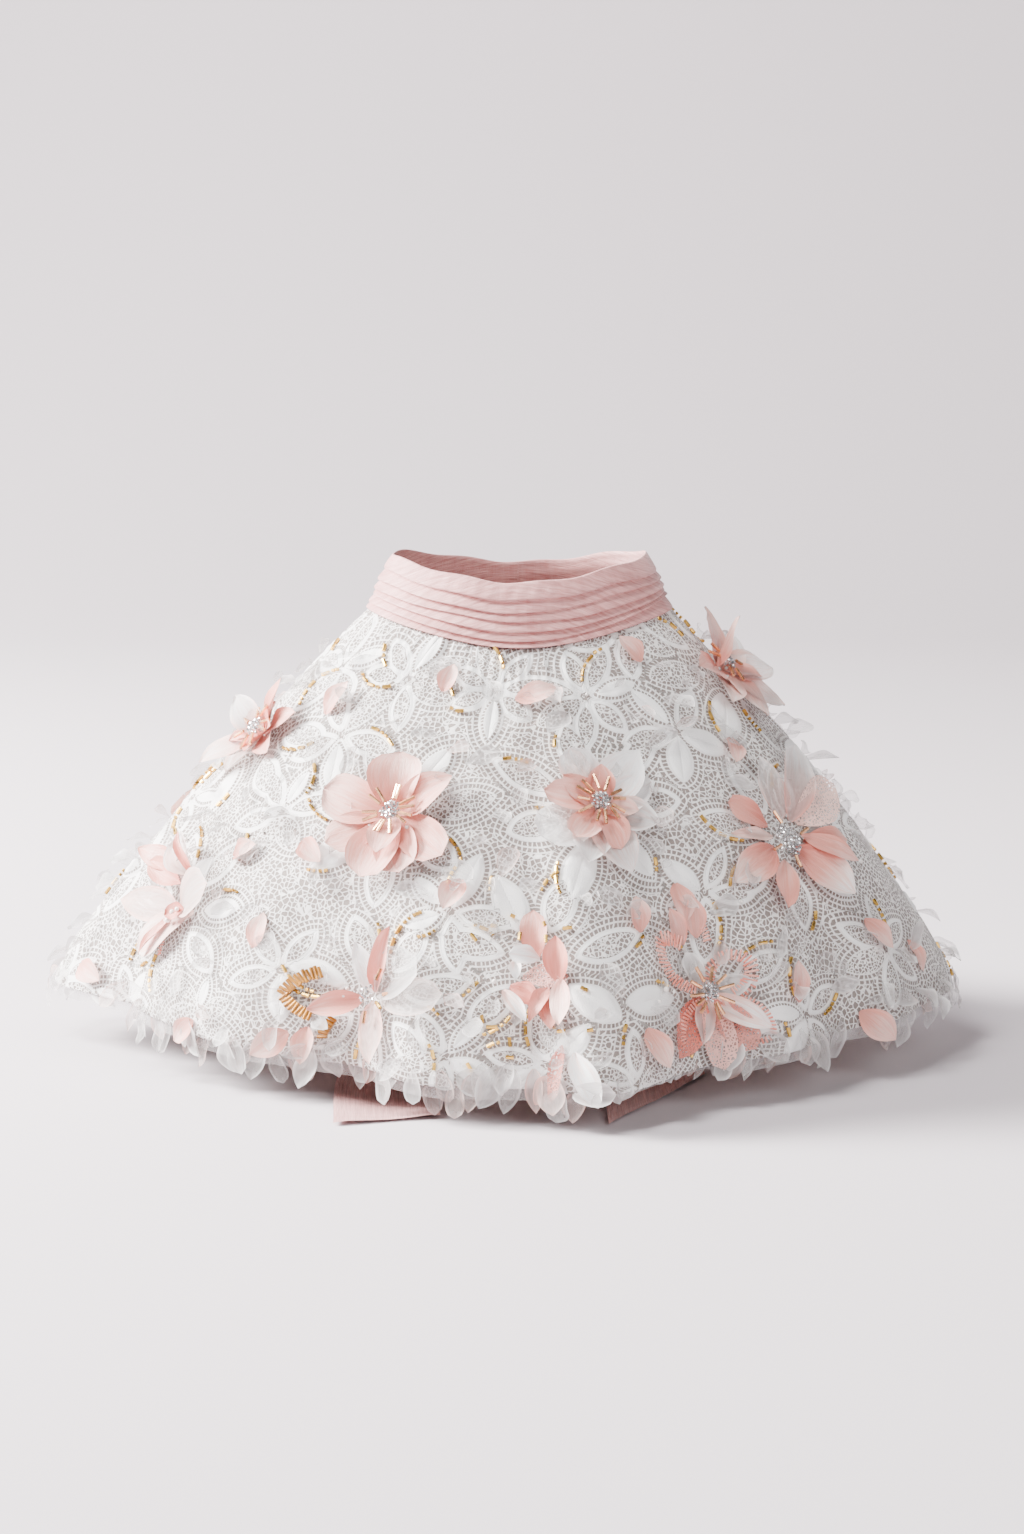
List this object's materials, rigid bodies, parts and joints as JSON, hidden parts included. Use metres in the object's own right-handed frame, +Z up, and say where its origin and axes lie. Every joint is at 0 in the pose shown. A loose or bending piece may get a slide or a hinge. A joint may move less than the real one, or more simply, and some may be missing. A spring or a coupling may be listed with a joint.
{
  "type": "lace skirt",
  "caption": "Child's full lace skirt with a pleated sash at the waist, two sash tails, raised beaded flowers, loose organza petals and a petal hem, held open as when worn.",
  "frame": {"origin": "centre of the waist hold, on the axis of the sash at the middle of its height", "axes": "+Z up, -Y towards the front of the skirt, +X to the right as the picture shows it"},
  "size_m": [0.6121, 0.53, 0.3318],
  "materials": {
    "lace": "matt white cotton lace",
    "sash": "soft pink slubbed silk",
    "flower": "blush organza with gold and crystal beads",
    "organza": "sheer white organza"
  },
  "bodies": {
    "root": {"sash_band": "sash", "skirt_front": "lace", "skirt_back": "lace", "flower_01": "flower", "flower_02": "flower", "flower_03": "flower", "flower_04": "flower", "flower_05": "flower", "flower_06": "flower", "flower_07": "flower", "flower_08": "flower", "flower_09": "flower", "flower_10": "flower", "flower_11": "flower", "flower_12": "flower", "flower_13": "flower", "flower_14": "flower", "flower_15": "flower", "hem_petals_front": "organza", "hem_petals_back": "organza", "sash_knot": "sash", "sash_tail_left": "sash", "sash_tail_right": "sash"}
  },
  "joints": []
}
